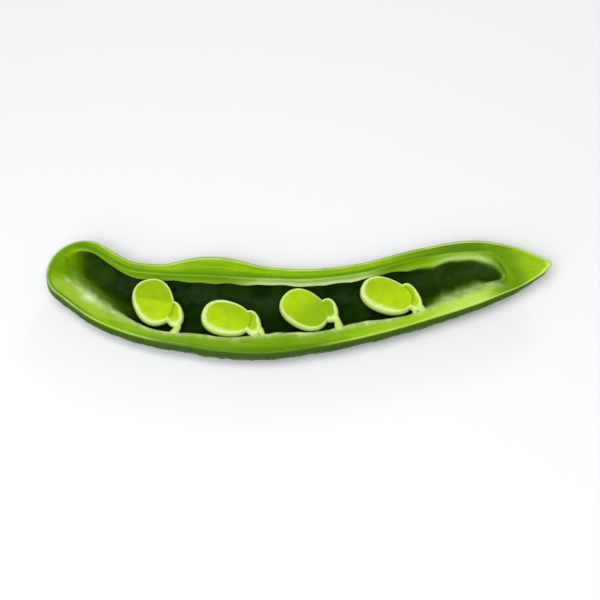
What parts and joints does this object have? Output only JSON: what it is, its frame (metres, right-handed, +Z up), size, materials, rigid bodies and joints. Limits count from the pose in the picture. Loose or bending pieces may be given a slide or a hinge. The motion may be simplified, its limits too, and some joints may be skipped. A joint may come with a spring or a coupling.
{
  "type": "indian flat bean pod",
  "caption": "Half of a flat green bean pod slit lengthwise, hollow side up, with its slit seeds lying in the hollow on short stalks.",
  "frame": {"origin": "on the surface that the pod lies on, in the flat spot under its back", "axes": "+X from the round stalk end to the pointed tip, +Y toward the pod's inner curve, +Z up out of the cut"},
  "size_m": [0.1003, 0.0263, 0.0069],
  "materials": {
    "pod_flesh": "fresh plant flesh and skin, moist and softly glossy",
    "seed_flesh": "fresh slit seed, moist, with a pale coat"
  },
  "bodies": {
    "root": {"pod_half": "pod_flesh", "seed_1": "seed_flesh", "seed_2": "seed_flesh", "seed_3": "seed_flesh", "seed_4": "seed_flesh"}
  },
  "joints": []
}
